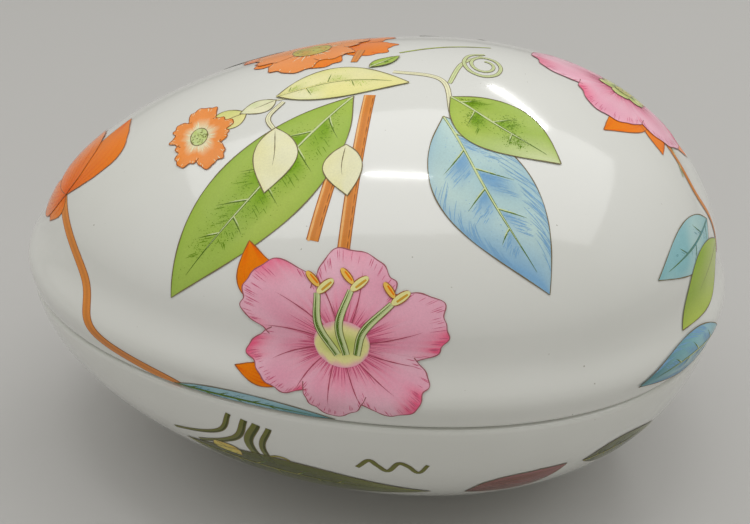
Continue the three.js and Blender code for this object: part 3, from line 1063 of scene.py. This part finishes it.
def porcelain_material():
    material, nodes, links, shader = new_material("white_porcelain")
    cloud = noise(nodes, links, 14, 3)
    light, shade = colour(232, 233, 228), colour(224, 225, 218)
    body = ramp(nodes, links, cloud.outputs["Fac"], 0.35, 0.7, light, shade)
    speck = noise(nodes, links, 900, 1)
    specks = ramp(nodes, links, speck.outputs["Fac"], 0.16, 0.2, colour(176, 170, 158), WHITE)
    white = mix(nodes, links, "MULTIPLY", 0.8, body.outputs["Color"], specks.outputs["Color"])

    # the foot's land is wiped clear of glaze, so it is matt
    coords = nodes.new("ShaderNodeTexCoord")
    place = nodes.new("ShaderNodeSeparateXYZ")
    links.new(coords.outputs["Object"], place.inputs["Vector"])
    bare = nodes.new("ShaderNodeMapRange")
    set_inputs(bare, {"From Min": 0.45 * MM, "From Max": 0.75 * MM})
    set_inputs(bare, {"To Min": BARE_ROUGHNESS, "To Max": GLAZE_ROUGHNESS})
    links.new(place.outputs["Z"], bare.inputs["Value"])
    links.new(bare.outputs["Result"], shader.inputs["Roughness"])
    links.new(white.outputs[2], shader.inputs["Base Color"])
    set_inputs(shader, {"IOR": 1.52, "Coat Weight": 0.6, "Coat Roughness": 0.04})
    glaze_waves(nodes, links, shader, WAVE_STRENGTH)
    return material


def transfer_material():
    """Overglaze colours: the print's own colours under the grain of the screen."""
    material, nodes, links, shader = new_material("fired_transfer")
    printed = nodes.new("ShaderNodeVertexColor")
    printed.layer_name = "print"
    grain_noise = noise(nodes, links, 2600, 2, 0.7)
    screen = ramp(nodes, links, grain_noise.outputs["Fac"], 0.3, 0.7, colour(245, 245, 245), WHITE)
    patchy = noise(nodes, links, 90, 3)
    wear = ramp(nodes, links, patchy.outputs["Fac"], 0.3, 0.7, colour(246, 246, 246), WHITE)
    inked = mix(nodes, links, "MULTIPLY", 1.0, printed.outputs["Color"], screen.outputs["Color"])
    worn = mix(nodes, links, "MULTIPLY", 1.0, inked.outputs[2], wear.outputs["Color"])
    links.new(worn.outputs[2], shader.inputs["Base Color"])
    set_inputs(shader, {"Roughness": 0.2, "IOR": 1.18})
    set_inputs(shader, {"Coat Weight": 0.4, "Coat IOR": 1.25, "Coat Roughness": 0.05})
    glaze_waves(nodes, links, shader, WAVE_STRENGTH)
    return material


# ---- the box ---------------------------------------------
def build_shells(porcelain):
    for name, rows in (("lid", lid_rows()), ("base", base_rows())):
        piece = shell_mesh(name + "_shell", rows)
        piece.data.materials.append(porcelain)
        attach(piece, name)
        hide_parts(name)


def turned(along, across, shift=(0, 0)):
    """A chart change that scales or mirrors a motif and moves it."""
    return lambda points: points * [along, across] + shift


LID_MOTIFS = (
    ("orange_stalks", stalks, 0),
    ("large_leaf", long_leaf, 3),
    ("seed_pods", seed_pods, 8),
    ("small_trumpet", trumpet, 0),
    ("crown_tendrils", tendrils, 0),
    ("crown_flower", crown_flower, 0),
    ("crown_leaf", crown_leaf, 12),
    ("blue_and_green_leaves", blue_and_green_leaves, 3),
    ("blunt_end_flower", blunt_end_flower, 3),
    ("blunt_end_leaves", blunt_end_leaves, 3),
    ("pointed_end_flower", pointed_end_flower, 0),
    ("orange_petals", flower_lobes, 8),
    ("lip_leaf", lip_leaf, 1),
    ("large_flower", large_flower, 11),
)
LID_MOTIFS_BEHIND = (
    ("back_large_leaf", long_leaf, 3, turned(-1.0, -1.0, (2, 6))),
    ("back_seed_pods", seed_pods, 8, turned(-1.0, -1.0, (2, 6))),
    ("back_orange_petals", flower_lobes, 8, turned(-1.0, -0.96)),
    ("back_large_flower", large_flower, 11, turned(-1.0, -0.96)),
    ("back_leaves", blue_and_green_leaves, 3, turned(-0.95, -0.95, (-8, 4))),
    ("back_blunt_end_leaves", blunt_end_leaves, 3, turned(1.0, -1.0)),
    ("back_trumpet", trumpet, 2, turned(1.0, -1.0, (-28, 26))),
    ("back_lip_leaf", lip_leaf, 1, turned(-1.0, -1.0)),
)
BASE_MOTIFS = (
    ("base_ribbons", base_ribbons, 0, None),
    ("base_leaves", base_leaves, 3, None),
    ("back_base_ribbons", base_ribbons, 0, turned(-1, -1)),
    ("back_base_leaves", base_leaves, 3, turned(-1, -1)),
)


def build_transfers(material):
    motifs = [("lid", name, draw, level, None) for name, draw, level in LID_MOTIFS]
    motifs += [("lid", name, draw, level, turn) for name, draw, level, turn in LID_MOTIFS_BEHIND]
    motifs += [("base", name, draw, level, turn) for name, draw, level, turn in BASE_MOTIFS]
    for number, (body, name, draw, level, turn) in enumerate(motifs):
        transfer = Transfer(name, body, 500 + number, turn)
        draw(transfer, level)
        transfer.done(material)


# ---- studio ----------------------------------------------
# The camera looks at the middle of the seam; angles are in degrees and places in metres. Its
# values, and the egg's tapers and swells, come from a fit to the box's outline and seam.
CAMERA_AZIMUTH = -2.217
CAMERA_ELEVATION = 33.953
CAMERA_ROLL = 2.55
CAMERA_DISTANCE = 0.21875
CAMERA_ASIDE = -0.0002
CAMERA_ABOVE = -0.00263
CAMERA_LENS = 39.43

FLOOR_REACH = 12.0
FLOOR_TINT = (0.5, 0.495, 0.48, 1)
SKY_TINT = (1.0, 0.975, 0.92, 1)
SKY_STRENGTH = 0.37

# each light: its name, place, turn about the vertical, size and power
LIGHTS = (
    ("overhead", (0.1, 0.0, 1.4), 0, (3.0, 1.5), 16),
    ("front_strip", (-0.085, -0.065, 1.2), -11, (0.27, 0.02), 0.8),
    ("back_strip", (0.53, 0.88, 1.2), -69, (0.68, 0.03), 2.4),
)


def place_camera():
    azimuth = math.radians(CAMERA_AZIMUTH)
    elevation = math.radians(CAMERA_ELEVATION)
    roll = math.radians(CAMERA_ROLL)
    back = Vector((math.sin(azimuth) * math.cos(elevation), -math.cos(azimuth) * math.cos(elevation),
                   math.sin(elevation)))
    right = (-back).cross(Vector((0, 0, 1))).normalized()
    up = right.cross(-back)
    tilted_right = math.cos(roll) * right + math.sin(roll) * up
    tilted_up = math.cos(roll) * up - math.sin(roll) * right
    place = back * CAMERA_DISTANCE + tilted_right * CAMERA_ASIDE + tilted_up * CAMERA_ABOVE
    data = bpy.data.cameras.new("camera")
    data.sensor_width = 36
    data.lens = CAMERA_LENS
    data.clip_start = 0.01
    camera = bpy.data.objects.new("camera", data)
    turn = Matrix((tilted_right, tilted_up, back)).transposed().to_4x4()
    camera.matrix_world = Matrix.Translation(place + Vector((0, 0, SEAM_HEIGHT * MM))) @ turn
    bpy.context.collection.objects.link(camera)
    bpy.context.scene.camera = camera


def area_light(name, place, turn, size, power):
    """A level panel that faces straight down, turned by some degrees about the vertical."""
    data = bpy.data.lights.new(name, "AREA")
    data.shape = "RECTANGLE"
    data.size, data.size_y = size
    data.energy = power
    light = bpy.data.objects.new(name, data)
    light.location = place
    light.rotation_euler = (0, 0, math.radians(turn))
    bpy.context.collection.objects.link(light)


def build_studio():
    floor_mesh = bpy.data.meshes.new("floor")
    reach = FLOOR_REACH
    corners = [(-reach, -reach, 0), (reach, -reach, 0), (reach, reach, 0), (-reach, reach, 0)]
    floor_mesh.from_pydata(corners, [], [(0, 1, 2, 3)])
    floor = bpy.data.objects.new("floor", floor_mesh)
    bpy.context.collection.objects.link(floor)
    material, nodes, links, shader = new_material("pale_floor")
    set_inputs(shader, {"Base Color": FLOOR_TINT, "Roughness": 0.7})
    floor_mesh.materials.append(material)

    world = bpy.data.worlds.new("studio")
    world.use_nodes = True
    set_inputs(world.node_tree.nodes["Background"], {"Color": SKY_TINT, "Strength": SKY_STRENGTH})
    scene = bpy.context.scene
    scene.world = world
    scene.view_settings.view_transform = "Standard"
    for light in LIGHTS:
        area_light(*light)


build_shells(porcelain_material())
build_transfers(transfer_material())
place_camera()
build_studio()

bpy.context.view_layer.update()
